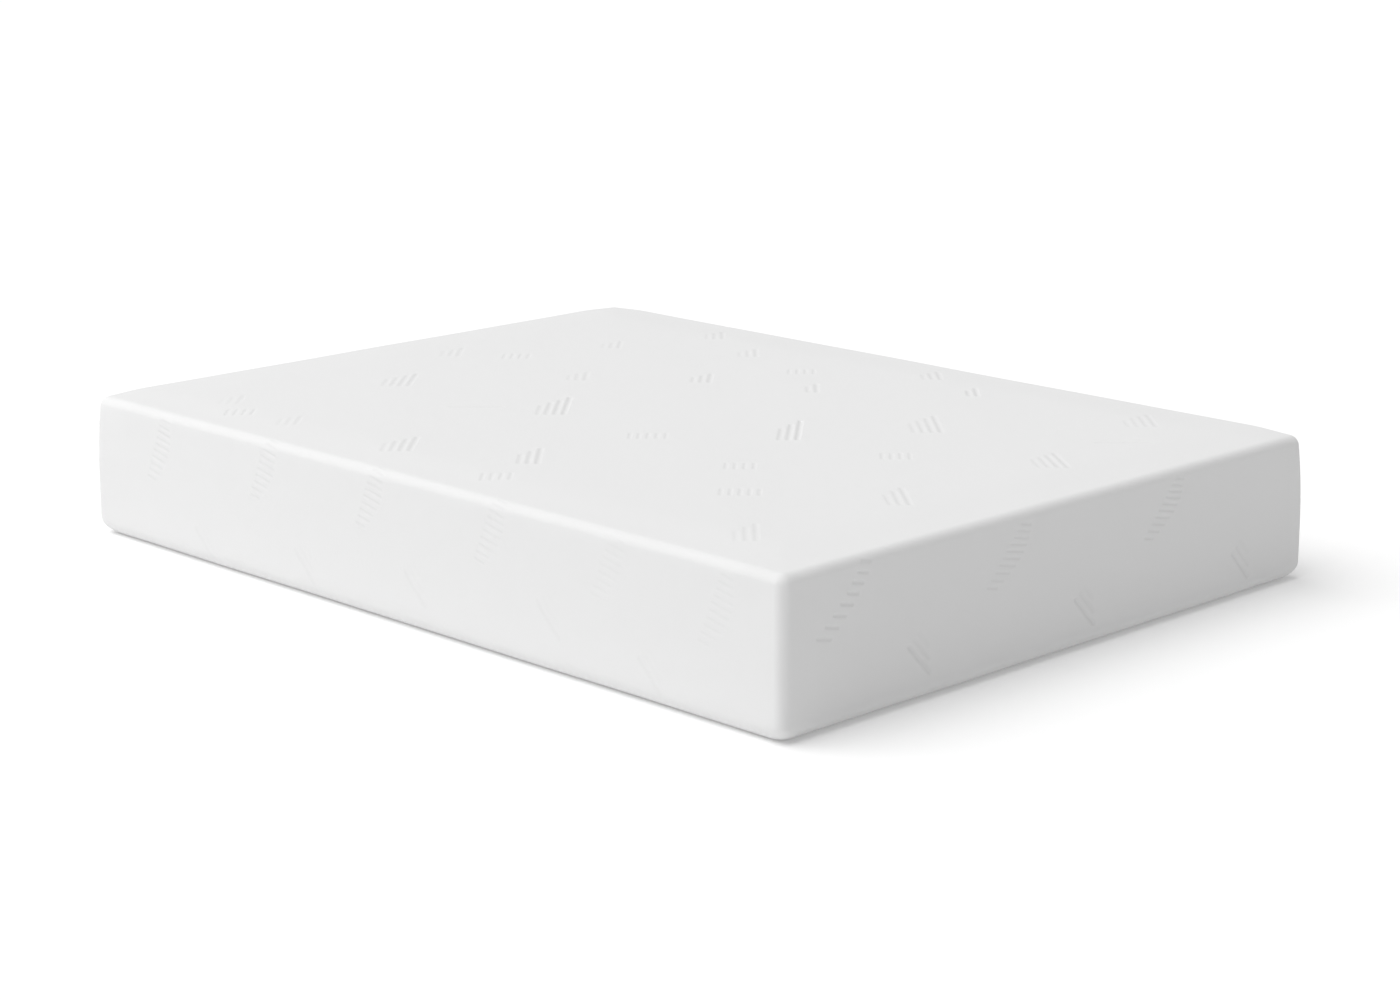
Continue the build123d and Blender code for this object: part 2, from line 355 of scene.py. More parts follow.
# Combs on the top: distance from the left and foot faces, ribs, share of the longest length,
# how deep they are sunk, and the lean of the ribs in degrees
COMBS = (
    (0.551, 1.674, 4, 0.85, 0.9, 42),
    (0.610, 1.243, 4, 1.10, 1.2, 43),
    (0.160, 1.197, 4, 0.80, 0.9, 43),
    (0.273, 0.939, 3, 0.85, 1.1, 45),
    (0.794, 0.740, 3, 1.15, 1.5, 41),
    (1.026, 0.586, 4, 1.00, 0.9, 47),
    (0.955, 0.211, 4, 0.80, 0.8, 52),
    (0.535, 0.226, 3, 0.85, 0.8, 49),
    (0.155, 0.239, 3, 0.75, 0.6, 45),
    (1.028, 1.227, 3, 0.60, 1.0, 42),
    (1.121, 0.986, 2, 0.55, 0.9, 44),
    (0.852, 1.433, 3, 0.55, 0.7, 44),
    (0.139, 1.524, 3, 0.50, 0.5, 43),
    (0.171, 1.765, 3, 0.50, 0.4, 43),
    (1.404, 0.896, 3, 0.60, 0.8, 45),
    (1.332, 0.718, 2, 0.50, 1.3, 44),
    (1.296, 1.349, 3, 0.55, 0.7, 45),
    (1.143, 1.635, 3, 0.50, 0.7, 43),
    (1.395, 1.553, 3, 0.60, 0.7, 45),
    (0.830, 1.830, 3, 0.60, 0.6, 43),
    (1.360, 0.300, 4, 0.75, 0.6, 46),
)
# Rows of short ribs on the top, placed the same way, with how many ribs each has
RIB_ROWS = (
    (0.555, 0.903, 5),
    (0.355, 0.449, 5),
    (0.501, 0.593, 4),
    (0.774, 0.438, 4),
    (0.119, 0.861, 4),
    (0.113, 1.658, 4),
    (1.230, 1.120, 4),
    (0.900, 1.690, 4),
)
# Single ribs that cross the others' lean
DASHES = ((0.489, 1.350), (1.180, 0.200))

# Leaves on the sides: distance from the side's left end, height and how deep they are sunk.
# Slashes have no depth of their own. The head end and the right-hand side continue the repeat.
FOOT_LEAVES = ((0.156, 0.231, 0.85), (0.591, 0.226, 0.62), (1.052, 0.232, 0.75))
FOOT_SLASHES = ((0.349, 0.081), (0.815, 0.073), (1.307, 0.068))
LEFT_LEAVES = (
    (0.238, 0.221, 0.50),
    (0.596, 0.243, 0.45),
    (0.933, 0.247, 0.50),
    (1.283, 0.243, 0.42),
    (1.600, 0.240, 0.20),
    (1.872, 0.211, 0.24),
)
LEFT_SLASHES = ((0.391, 0.045), (0.726, 0.062), (1.067, 0.085), (1.445, 0.104), (1.711, 0.054))
HEAD_LEAVES = ((0.240, 0.236, 0.80), (0.690, 0.230, 0.62), (1.140, 0.226, 0.72))
HEAD_SLASHES = ((0.520, 0.120), (0.920, 0.110), (1.330, 0.098))
RIGHT_LEAVES = (
    (0.210, 0.226, 0.50),
    (0.560, 0.238, 0.45),
    (0.905, 0.243, 0.50),
    (1.250, 0.240, 0.42),
    (1.600, 0.236, 0.45),
    (1.900, 0.224, 0.50),
)
RIGHT_SLASHES = ((0.420, 0.115), (0.760, 0.122), (1.110, 0.112), (1.460, 0.118), (1.790, 0.110))
# For each side: its leaves, its slashes and how deep the slashes are sunk
SIDE_PATTERN = {
    "foot": (FOOT_LEAVES, FOOT_SLASHES, 1.5),
    "left": (LEFT_LEAVES, LEFT_SLASHES, 0.35),
    "head": (HEAD_LEAVES, HEAD_SLASHES, 1.4),
    "right": (RIGHT_LEAVES, RIGHT_SLASHES, 0.35),
}

COMB_AXIS = math.radians(-45.0)
RIB_LEAN = math.radians(43.0)
LEAF_LEAN = math.radians(48.0)
STEEP_LEAF_LEAN = math.radians(68.0)
LEAF_RIB_TILT = math.radians(-12.0)
LEAF_BEND = 0.012
# Leaves: ribs more than the setting, stretch, length of the longest rib, and share of a width
FINE_LEAF = (3, 1.0, 0.045, 0.6)
COARSE_LEAF = (1, 1.14, 0.032, 0.75)
SLASH_LEAN = math.radians(-46.0)
SLASH_LENGTH = 0.080
# The ribs of a slash: shares of its length and depth
SLASH_RIBS = ((1.0, 1.0), (0.7, 0.42), (0.45, 0.25))
# Short ribs: length, and shares of depth and width
ROW_RIB = (0.045, 0.6, 0.8)
DASH = (0.11, 0.7, 0.7)
# Rows of mesh points across a rib and round its ends, in half widths, with the points in each
# ring
RIB_OFFSETS = np.array([-1.5, -1.15, -0.85, -0.5, -0.18, 0.18, 0.5, 0.85, 1.15, 1.5])
RIB_RINGS = ((0.5, 3), (0.85, 5), (1.15, 5), (1.5, 5))
RIB_STEP = 0.008
# How far from its middle line a rib shapes the cloth, and clears it of other mesh points
RIB_REACH = 1.9
CLEAR_REACH = 2.3


def direction(angle):
    """The unit vector at an angle in a plane."""
    return np.array([math.cos(angle), math.sin(angle)])


class Grooves:
    """The sunk ribs: straight strokes on the flat cloth with rounded ends."""

    def __init__(self, pattern):
        self.pattern = pattern
        self.rows = []

    def add(self, middle, along, length, depth=1.0, width=1.0):
        """One rib: its middle, unit direction, whole length, and shares of depth and width."""
        pattern = self.pattern
        half_width = pattern.groove_width / 2.0 * width
        depth *= pattern.groove_depth
        self.rows.append((*middle, *along, length / 2.0, half_width, depth))

    def add_comb(self, middle, ribs, length, depth, lean):
        """Slanting ribs that start from one line and grow longer towards the right."""
        pattern = self.pattern
        step = direction(COMB_AXIS) * pattern.groove_pitch
        longest = pattern.comb_length * length
        start = middle - direction(lean) * longest / 2.0
        for i in range(ribs):
            share = (i + 1.0) / ribs
            rib = longest * (0.35 + 0.65 * share)
            spot = start + step * (i - (ribs - 1) / 2.0) + direction(lean) * rib / 2.0
            self.add(spot, direction(lean), rib, depth * share**0.4)

    def add_leaf(self, side, spot, lean, fine, depth):
        """A leaning leaf of short ribs on a side: fine and pointed, or coarse and open."""
        pattern = self.pattern
        ribs, stretch, rib, width = FINE_LEAF if fine else COARSE_LEAF
        ribs += pattern.leaf_ribs
        middle, axis = side.cloth(*spot), side.towards(lean)
        for i in range(ribs):
            share = i / (ribs - 1.0)
            swell = math.sin(HALF_TURN * share)
            shift = axis * pattern.leaf_length * stretch * (share - 0.5)
            bend = side.right * LEAF_BEND * swell
            taper = 0.55 + 0.45 * swell if fine else 1.0 - 0.4 * share
            self.add(middle + shift + bend, side.towards(LEAF_RIB_TILT), rib * taper, depth, width)

    def add_slash(self, side, spot, depth):
        """A long rib leaning the other way, with two fainter ones above it."""
        along, across = side.towards(SLASH_LEAN), side.towards(SLASH_LEAN + QUARTER_TURN)
        for i, (share, faint) in enumerate(SLASH_RIBS):
            shift = across * self.pattern.groove_pitch * 0.9 - along * 0.12 * SLASH_LENGTH
            self.add(side.cloth(*spot) + shift * i, along, SLASH_LENGTH * share, depth * faint)

    def measure(self, cloth, reach):
        """For each rib: the places on the cloth within reach of it and how far they are from
        its middle line, in half widths."""
        for u, v, du, dv, half_length, half_width, depth in self.rows:
            rel = cloth - (u, v)
            span = half_length + reach * half_width
            near = np.nonzero((np.abs(rel) < span).all(axis=1))[0]
            if not len(near):
                continue
            rel = rel[near]
            along = np.clip(rel @ (du, dv), -half_length, half_length)
            off = np.hypot(rel[:, 0] - along * du, rel[:, 1] - along * dv) / half_width
            close = off < reach
            yield near[close], off[close], depth

    def relief(self, cloth):
        """How far the cloth is raised or sunk, and how much of it is groove, which sets the
        painted shade in the ribs.
        """
        sunk = np.zeros(len(cloth))
        ridge = np.zeros(len(cloth))
        mask = np.zeros(len(cloth))
        for near, off, depth in self.measure(cloth, RIB_REACH):
            inside = np.clip(1.0 - off**2, 0.0, 1.0)
            shoulder = np.clip((off - 0.85) * (RIB_REACH - off) / 0.2756, 0.0, 1.0)
            sunk[near] = np.maximum(sunk[near], depth * inside**1.3)
            ridge[near] = np.maximum(ridge[near], 0.28 * depth * shoulder)
            # The mask for the painted shade: full in a rib's middle, in step with its depth
            share = min(1.0, depth / self.pattern.groove_depth)
            mask[near] = np.maximum(mask[near], inside**0.5 * share)
        return ridge - sunk, mask

    def clear(self, cloth):
        """The places that are far enough from every rib to keep the plain mesh."""
        keep = np.ones(len(cloth), bool)
        for near, _, _ in self.measure(cloth, CLEAR_REACH):
            keep[near] = False
        return cloth[keep]

    def points(self):
        """Mesh points along and across every rib."""
        found = []
        for u, v, du, dv, half_length, half_width, _ in self.rows:
            count = max(2, int(round(2.0 * half_length / RIB_STEP)))
            runs = np.linspace(-half_length, half_length, count + 1)
            along, across = np.meshgrid(runs, RIB_OFFSETS * half_width, indexing="ij")
            found.append(strokes(along, across, u, v, du, dv))
            for end in (-1.0, 1.0):
                for ring, fan in RIB_RINGS:
                    turn = np.linspace(-1.0, 1.0, fan + 2)[1:-1] * QUARTER_TURN
                    ahead = end * (half_length + ring * half_width * np.cos(turn))
                    beside = ring * half_width * np.sin(turn)
                    found.append(strokes(ahead, beside, u, v, du, dv))
        return np.vstack(found)


def strokes(along, across, u, v, du, dv):
    """Places on the cloth from distances along and across a rib."""
    along, across = np.ravel(along), np.ravel(across)
    return np.column_stack([u + along * du - across * dv, v + along * dv + across * du])


def knit_grooves(form, pattern):
    """Every rib of the pattern, on the top and on the four sides."""
    grooves = Grooves(pattern)
    corner = -form.half
    for x, y, ribs, length, depth, lean in COMBS:
        grooves.add_comb(corner + (x, y), ribs, length, depth, math.radians(lean))
    for x, y, ribs in RIB_ROWS:
        for i in range(ribs):
            shift = direction(COMB_AXIS) * pattern.groove_pitch * (i - (ribs - 1) / 2.0)
            grooves.add(corner + (x, y) + shift, direction(RIB_LEAN), *ROW_RIB)
    for x, y in DASHES:
        grooves.add(corner + (x, y), direction(COMB_AXIS), *DASH)
    for name, side in cover_sides(form).items():
        leaves, slashes, slash_depth = SIDE_PATTERN[name]
        long_side = name in ("left", "right")
        lean = STEEP_LEAF_LEAN if long_side else LEAF_LEAN
        for k, (*spot, depth) in enumerate(leaves):
            grooves.add_leaf(side, spot, lean, long_side or k > 0, depth)
        for spot in slashes:
            grooves.add_slash(side, spot, slash_depth)
    return grooves


# ---------------------------------------------------------------- the cover's mesh

# The stitching beside the zip's opening, and the turned edge of the cloth
SEAM_OFFSET = 0.0042
SEAM_DIP = 0.0007
SEAM_SINK = -0.0006
SEAM_WIDTH = 0.0012
EDGE_ROLL = 0.0018
# Distances from the opening of the rows of mesh points beside it
FRINGE = np.array([0.0004, 0.0010, 0.0018, 0.0030, 0.0042, 0.0056, 0.0075])
# How far other mesh points keep from the opening, on the cloth and on its lining
ZIP_CLEAR = 0.009
LINING_CLEAR = 0.004
LINING_SPACING = 0.08
CORNER_STEPS = 24


class ZipLine:
    """The zip's opening in the cover: from the head end's left part, round the corner, to the
    foot of the right-hand side."""

    def __init__(self, form, style):
        upper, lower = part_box("zip_coil_upper"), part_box("zip_coil_lower")
        self.form = form
        self.height = (upper[0].z + lower[1].z) / 2.0
        self.end_x, self.end_y = upper[0].x, upper[0].y
        self.low_run = form.run_at_height(self.height + style.slot_height / 2.0)
        self.high_run = form.run_at_height(self.height - style.slot_height / 2.0)

    def covers(self, cloth, margin=0.0):
        """Which places lie on the stretch of the sides that the zip takes."""
        _, _, edge_point = self.form.locate(cloth)
        inside = (cloth[:, 0] > self.end_x - margin) & (cloth[:, 1] > self.end_y - margin)
        flat = self.form.inner + self.form.start
        beside = (edge_point[:, 0] > flat[0] - 2e-3) | (edge_point[:, 1] > flat[1] - 2e-3)
        return inside & beside

    def distance(self, cloth):
        """How far each place is from the opening: negative inside it."""
        run, _, _ = self.form.locate(cloth)
        gap = np.maximum(self.low_run - run, run - self.high_run)
        ends = np.where(
            cloth[:, 1] > self.form.inner[1], self.end_x - cloth[:, 0], self.end_y - cloth[:, 1]
        )
        return np.where(self.covers(cloth, 0.05), np.maximum(gap, ends), 1.0)


def stations(form, spacing, extra=()):
    """Places along the edge of the flat part, with their outward directions, anticlockwise from
    the foot end's left. Each extra place is a side's number and how far along its axis it lies."""
    edge, outward = [], []
    for number, away in enumerate(np.array([(0, -1), (1, 0), (0, 1), (-1, 0)], float)):
        ahead = np.array([-away[1], away[0]])
        limit = float(np.abs(ahead) @ form.inner)
        stops = np.linspace(-limit, limit, int(round(2 * limit / spacing)) + 1)
        for value in (value for side, value in extra if side == number):
            stops[np.abs(stops - value).argmin()] = value
        stops = np.sort(stops)[:: int(ahead.sum())]
        edge.append(stops[:, None] * np.abs(ahead) + away * (form.inner + form.start))
        outward.append(np.tile(away, (len(stops), 1)))
        turns = (np.arange(1, CORNER_STEPS) / CORNER_STEPS + number - 1.0) * QUARTER_TURN
        around = np.column_stack([np.cos(turns), np.sin(turns)])
        edge.append((away + ahead) * form.inner + around * form.start)
        outward.append(around)
    return np.vstack(edge), np.vstack(outward)


def spread(edge, outward, runs):
    """Rows of places on the cloth, each a run out from the edge of the flat part."""
    return (edge[None] + outward[None] * np.reshape(runs, (-1, 1, 1))).reshape(-1, 2)


def wall_runs(form, spacing):
    """Runs of the rows of mesh points from the flat top's edge to the hem."""
    top_end, low_start, low_end = form.turn_runs[1:]
    side_rows = int(round((low_start - top_end) / spacing))
    return np.concatenate(
        [
            np.linspace(0.0, top_end, 13)[:-1],
            np.linspace(top_end, low_start, side_rows + 1)[:-1],
            np.linspace(low_start, low_end, 11),
            [form.last_run],
        ]
    )


def top_lattice(form, spacing):
    """Staggered rows of mesh points over the flat part of the top."""
    flat = form.inner + form.start - 0.4 * spacing
    row_step = spacing * math.sqrt(0.75)
    rows = int(2 * flat[1] / row_step) + 1
    columns = int(2 * flat[0] / spacing) + 1
    v = np.linspace(-flat[1], flat[1], rows)
    u = np.linspace(-flat[0], flat[0], columns)
    grid_u, grid_v = np.meshgrid(u, v)
    grid_u = grid_u + np.where(np.arange(rows) % 2, 0.25, -0.25)[:, None] * (u[1] - u[0])
    return np.column_stack([grid_u.ravel(), grid_v.ravel()])


def triangulate(points, edges=()):
    """Triangles over places on the cloth, anticlockwise, as arrays."""
    made = delaunay_2d_cdt([Vector(p) for p in points], list(edges), [], 0, 1e-7)
    cloth = np.array([tuple(p) for p in made[0]])
    faces = np.array([tuple(f) for f in made[2]], int)
    a, b, c = (cloth[faces[:, i]] for i in range(3))
    area = (b[:, 0] - a[:, 0]) * (c[:, 1] - a[:, 1]) - (b[:, 1] - a[:, 1]) * (c[:, 0] - a[:, 0])
    faces[area < 0] = faces[area < 0][:, ::-1]
    return cloth, faces[np.abs(area) > 1e-12]


def rim_edges(faces):
    """The directed edges that only one face uses."""
    edges = np.vstack([faces[:, [0, 1]], faces[:, [1, 2]], faces[:, [2, 0]]])
    known = {tuple(e) for e in edges.tolist()}
    return [e for e in known if (e[1], e[0]) not in known]


def slot_rim(form, spacing, zip_line):
    """The edge's stations with the zip's two ends among them, those beside the zip, and the two
    edges of its opening."""
    edge, outward = stations(form, spacing, ((1, zip_line.end_y), (2, zip_line.end_x)))
    near = zip_line.covers(edge + outward * zip_line.low_run, 0.03)
    fringe_runs = np.concatenate([zip_line.low_run - FRINGE, zip_line.high_run + FRINGE])
    beside = spread(edge[near], outward[near], fringe_runs)
    along = zip_line.covers(edge + outward * zip_line.low_run, 1e-6)
    rims = [edge[along] + outward[along] * run for run in (zip_line.low_run, zip_line.high_run)]
    return edge, outward, beside, rims


def cover_sheet(zip_line, rims, hem, filling):
    """Triangles through the filling points, the opening's two edges and the hem."""
    count = len(rims[0])
    ties = [(i, i + 1) for start in (0, count) for i in range(start, start + count - 1)]
    ties += [(0, count), (count - 1, 2 * count - 1)]
    cloth, faces = triangulate(np.vstack([*rims, hem, *filling]), ties)
    inside = zip_line.distance(cloth) < 1e-5
    return cloth, faces[~inside[faces].all(axis=1)]


def cover_shell(form, pattern, style):
    """The cover as a closed cloth shell: its points, faces, groove mask for the painted shade in
    the ribs, and flat places.
    """
    spacing = pattern.point_spacing
    zip_line = ZipLine(form, style)
    grooves = knit_grooves(form, pattern)
    edge, outward, beside, rims = slot_rim(form, spacing, zip_line)
    runs = wall_runs(form, spacing)
    hem = edge + outward * runs[-1]
    wall = spread(edge, outward, runs)
    plain = np.vstack([top_lattice(form, spacing), wall[zip_line.distance(wall) > ZIP_CLEAR]])
    filling = [grooves.clear(plain), grooves.points(), beside]
    cloth, faces = cover_sheet(zip_line, rims, hem, filling)
    wall = (edge[::3, None] + outward[::3, None] * runs[None, ::2, None]).reshape(-1, 2)
    filling = [top_lattice(form, LINING_SPACING), wall[zip_line.distance(wall) > LINING_CLEAR]]
    lining, lining_faces = cover_sheet(zip_line, rims, hem, filling)

    raised, sunk = grooves.relief(cloth)
    outside, _ = form.place(cloth, raised + seam_relief(zip_line, cloth))
    inside, _ = form.place(lining, np.full(len(lining), -form.form.cloth_thickness))
    match = {tuple(place): i for i, place in enumerate(np.round(lining, 5).tolist())}
    across = [tuple(place) for place in np.round(cloth, 5).tolist()]
    count = len(cloth)
    closing = [
        (b, a, match[across[a]] + count, match[across[b]] + count) for a, b in rim_edges(faces)
    ]
    every_face = faces.tolist() + (lining_faces[:, ::-1] + count).tolist() + closing
    mask = np.concatenate([sunk, np.zeros(len(inside))])
    return np.vstack([outside, inside]), every_face, mask, np.vstack([cloth, lining])


def seam_relief(zip_line, cloth):
    """The turned edge of the cloth at the zip, the dip of its stitching, and a faint unevenness
    of the foam under the whole cover."""
    gap = zip_line.distance(cloth)
    inward = np.clip(EDGE_ROLL - gap, 0.0, EDGE_ROLL)
    edge_roll = EDGE_ROLL - np.sqrt(np.maximum(EDGE_ROLL**2 - inward**2, 0.0))
    dip = SEAM_DIP * np.exp(-(((gap - SEAM_OFFSET) / SEAM_WIDTH) ** 2))
    u, v = cloth.T
    pucker = 0.00025 * np.sin(u * 190.0 + v * 210.0) * np.exp(-((gap / 0.012) ** 2))
    slow = np.sin(u * 9.0 + 1.3) * np.sin(v * 7.0 + 0.4)
    uneven = slow + 0.6 * np.sin(u * 17.0 - v * 13.0 + 2.0)
    return pucker + 0.0003 * uneven - edge_roll - dip


# ---------------------------------------------------------------- mesh helpers

# One stitch, from end to end: its height and its radius, in widths of the thread
STITCH_ARCH = np.array([-0.35, 0.25, 0.45, 0.25, -0.35])
STITCH_GIRTH = np.array([0.35, 0.5, 0.5, 0.5, 0.35])
# Shares of an edge where its row of stitches is measured
STITCH_SHARES = np.linspace(0.0, 1.0, 30)
# The coil: mesh points in a turn, how far the two rows pass each other, how deep the middle of
# a turn lies under the cover's face, and how far it swings in and out
COIL_STEPS = 6
COIL_OVERLAP = 0.0016
COIL_DEPTH = 0.0014
COIL_SWING = 0.0011


def new_piece(name, points, faces, material, smooth_angle=50.0, weld=False):
    """A mesh object from points and faces, smooth except at sharp edges."""
    mesh = bpy.data.meshes.new(name)
    mesh.from_pydata([tuple(p) for p in points], [], [tuple(f) for f in faces])
    if weld:
        working = bmesh.new()
        working.from_mesh(mesh)
        bmesh.ops.remove_doubles(working, verts=working.verts, dist=1e-6)
        working.to_mesh(mesh)
        working.free()
    mesh.materials.append(material)
    mesh.polygons.foreach_set("use_smooth", [True] * len(mesh.polygons))
    mesh.set_sharp_from_angle(angle=math.radians(smooth_angle))
    mesh.update()
    piece = bpy.data.objects.new(name, mesh)
    bpy.context.scene.collection.objects.link(piece)
    return piece


def settle(piece, body, slot, *replaced):
    """Fix a piece to a body and hide the frame nodes it stands for. The slot is not used."""
    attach(piece, body)
    if replaced:
        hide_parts(*replaced)


def unit(vectors):
    """Rows of vectors, each made one long."""
    return vectors / np.linalg.norm(vectors, axis=1)[:, None]


def pick(at, line):
    """Rows of values at distances along a line, between its own spots."""
    run, values = line
    return np.column_stack([np.interp(at, run, column) for column in values.T])


def tube(path, radius, sides):
    """Points and faces of a closed round tube along a path of points."""
    path = np.asarray(path, float)
    ahead = unit(np.gradient(path, axis=0))
    aid = np.where(np.abs(ahead[:, 2:3]) > 0.9, (1.0, 0.0, 0.0), (0.0, 0.0, 1.0))
    across = unit(np.cross(ahead, aid))
    up = np.cross(across, ahead)
    turn = (np.arange(sides) / sides * 2.0 * HALF_TURN)[None, :, None]
    ring = np.cos(turn) * across[:, None] + np.sin(turn) * up[:, None]
    radius = np.broadcast_to(np.reshape(radius, (-1, 1, 1)), (len(path), 1, 1))
    points = (path[:, None] + ring * radius).reshape(-1, 3)
    faces = []
    for i in range(len(path) - 1):
        for j in range(sides):
            k = (j + 1) % sides
            faces.append((i * sides + j, (i + 1) * sides + j, (i + 1) * sides + k, i * sides + k))
    faces.append(tuple(range(sides)))
    faces.append(tuple(reversed(range((len(path) - 1) * sides, len(path) * sides))))
    return points, faces


def join_meshes(parts):
    """One list of points and faces from several."""
    points, faces, count = [], [], 0
    for part_points, part_faces in parts:
        points.append(part_points)
        faces += [tuple(i + count for i in face) for face in part_faces]
        count += len(part_points)
    return np.vstack(points), faces


def stitch_row(spots, normals, style):
    """A row of separate stitches along a dense line of spots on a surface."""
    run = distances(spots)
    pitch = style.stitch_length + style.stitch_gap
    arch = STITCH_ARCH * style.thread_width
    thin = STITCH_GIRTH * style.thread_width
    parts = []
    for k in range(int(run[-1] / pitch)):
        at = k * pitch + np.linspace(0.0, style.stitch_length, len(arch))
        path = pick(at, (run, spots)) + pick(at, (run, normals)) * arch[:, None]
        parts.append(tube(path, thin, 5))
    return join_meshes(parts)


def inner_solid(form, inset, low=None, high=None):
    """A closed solid that follows the cover at a distance inside it, cut off flat at a low and a
    high height, or all the way to the base and the top."""
    edge, outward = stations(form, 0.06)
    first = 0.0 if high is None else form.run_at_height(high)
    last = form.turn_runs[3] if low is None else form.run_at_height(low)
    runs = [run for run in wall_runs(form, 0.04) if first + 1e-3 < run < last - 1e-3]
    loops = [form.rest(edge + outward * run, -inset)[0] for run in (first, *runs, last)]
    if low is not None:
        loops[-1][:, 2] = low
    if high is not None:
        loops[0][:, 2] = high
    index = np.arange(len(loops) * len(edge)).reshape(len(loops), -1)
    after = np.roll(index, -1, axis=1)
    quads = np.stack([index[:-1], index[1:], after[1:], after[:-1]], axis=-1).reshape(-1, 4)
    parts = [(np.vstack(loops), quads.tolist())]
    lattice = top_lattice(form, 0.09)
    for loop, up in ((loops[0], True), (loops[-1], False)):
        shrink = 0.95 if low is None and not up else 1.0
        plan, faces = triangulate(np.vstack([loop[:, :2], lattice * shrink]))
        cap = np.column_stack([plan, np.full(len(plan), loop[0, 2])])
        parts.append((cap, faces.tolist() if up else faces[:, ::-1].tolist()))
    points, faces = join_meshes(parts)
    return form.give(points), faces


def plate(spots, normals, low, high):
    """A closed sheet over a grid of spots, between two heights above it along the normals."""
    rows, columns = spots.shape[:2]
    offsets = [np.broadcast_to(np.asarray(value, float), (rows, columns)) for value in (low, high)]
    back, front = (spots + normals * offset[..., None] for offset in offsets)
    count = rows * columns
    index = np.arange(count).reshape(rows, columns)
    a, b, c, d = index[:-1, :-1], index[:-1, 1:], index[1:, 1:], index[1:, :-1]
    ahead = np.stack([a, b, c, d], axis=-1).reshape(-1, 4) + count
    behind = np.stack([a, d, c, b], axis=-1).reshape(-1, 4)
    rim = np.concatenate([index[0], index[1:, -1], index[-1, -2::-1], index[-2:0:-1, 0]])
    after = np.roll(rim, -1)
    sides = np.column_stack([rim, after, after + count, rim + count])
    points = np.vstack([back.reshape(-1, 3), front.reshape(-1, 3)])
    return points, np.vstack([ahead, behind, sides]).tolist()


def patch_grid(side, left, right, bottom, top, step):
    """A grid of spots and normals of the cover's face over an upright oblong on one side."""
    alongs = np.linspace(left, right, int(round((right - left) / step)) + 1)
    heights = np.linspace(bottom, top, int(round((top - bottom) / step)) + 1)
    cloth = np.array([[side.cloth(along, height) for along in alongs] for height in heights])
    spots, normals = side.form.place(cloth.reshape(-1, 2))
    shape = (len(heights), len(alongs), 3)
    return spots.reshape(shape), normals.reshape(shape)


def oblong_path(side, left, right, bottom, top, edges):
    """Dense spots and normals of the cover's face along some of an oblong's edges, from its top
    one on."""
    ring = [(left, top), (right, top), (right, bottom), (left, bottom), (left, top)]
    cloth = []
    for start, end in list(zip(np.array(ring), np.array(ring[1:])))[:edges]:
        cloth += [side.cloth(*(start + (end - start) * share)) for share in STITCH_SHARES]
    return side.form.place(np.array(cloth))


def zip_path(form, zip_line, height, raised, spacing=None):
    """Spots and normals along the zip at a height, raised from the cover's plain face."""
    edge, outward = stations(form, 0.015, ((1, zip_line.end_y), (2, zip_line.end_x)))
    run = form.run_at_height(height)
    chosen = zip_line.covers(edge + outward * run, 1e-6)
    spots, normals = form.place(edge[chosen] + outward[chosen] * run, raised)
    if spacing is None:
        return spots, normals
    run = distances(spots)
    at = np.arange(0.0, run[-1], spacing)
    return pick(at, (run, spots)), unit(pick(at, (run, normals)))


def coil(form, zip_line, style, node, way):
    """One row of the zip's coil: a flattened spiral of wire whose turns mesh with the other
    row's. Its way is 1 for the upper row and -1 for the lower."""
    low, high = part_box(node)
    spots, normals = zip_path(form, zip_line, zip_line.height, 0.0, style.coil_pitch / COIL_STEPS)
    wire = style.coil_wire / 2.0
    turn = np.arange(len(spots)) / COIL_STEPS * 2.0 * HALF_TURN + (1 - way) * QUARTER_TURN
    middle = (high.z + low.z - way * COIL_OVERLAP) / 2.0
    reach = (high.z - low.z + COIL_OVERLAP) / 2.0 - wire
    path = spots - normals * (COIL_DEPTH + (COIL_SWING - wire) * np.sin(turn))[:, None]
    path[:, 2] = middle + reach * np.cos(turn)
    return tube(path, wire, 5)


def sew_patch(form, style, make, node, side_name, cloth, thread):
    """A flat piece of cloth over a frame node, sewn to a side as its make says."""
    side = cover_sides(form)[side_name]
    low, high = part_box(node)
    left, right = side.span(low, high)
    spots, normals = patch_grid(side, left, right, low.z, high.z, make["step"])
    rows, columns = spots.shape[:2]
    lift = make["lift"](np.linspace(0.0, 1.0, rows)[:, None], np.linspace(0.0, 1.0, columns))
    name = node.replace("zip_end_", "end_") + make["ending"]
    patch = new_piece(name, *plate(spots, normals, lift, lift + make["thickness"]), cloth)
    settle(patch, "mattress", make["slot"], node)
    beside, below, above = make["margins"]
    spots, normals = oblong_path(
        side, left + beside, right - beside, low.z + below, high.z - above, make["edges"]
    )
    row = stitch_row(spots + normals * make["raised"], normals, style)
    settle(new_piece(f"{name}_stitches", *row, thread), "mattress", make["slot"])


def tab_lift(up, _):
    """How far an end tab stands off the cover: a little more in its middle."""
    return 0.0001 + 0.0004 * np.sin(HALF_TURN * up)


def label_lift(up, across):
    """How far a label stands off the cover: it hangs free and waves towards its foot."""
    down = 1.0 - up
    return 0.0003 + 0.0005 * down**2 * np.sin(across * 9.0 + 0.7) ** 2 + 0.0012 * down**3


TAB = {
    "ending": "", "slot": "zip_tape", "held": "stretched", "step": 0.001, "lift": tab_lift,
    "thickness": 0.0007, "margins": (0.002, 0.002, 0.002), "edges": 4, "raised": 0.0009,
}
LABEL = {
    "ending": "_cloth", "slot": "label_cloth", "held": "hung", "step": 0.002, "lift": label_lift,
    "thickness": 0.0003, "margins": (0.002, 0.0, 0.004), "edges": 1, "raised": 0.0006,
}


# ---------------------------------------------------------------- shader helpers

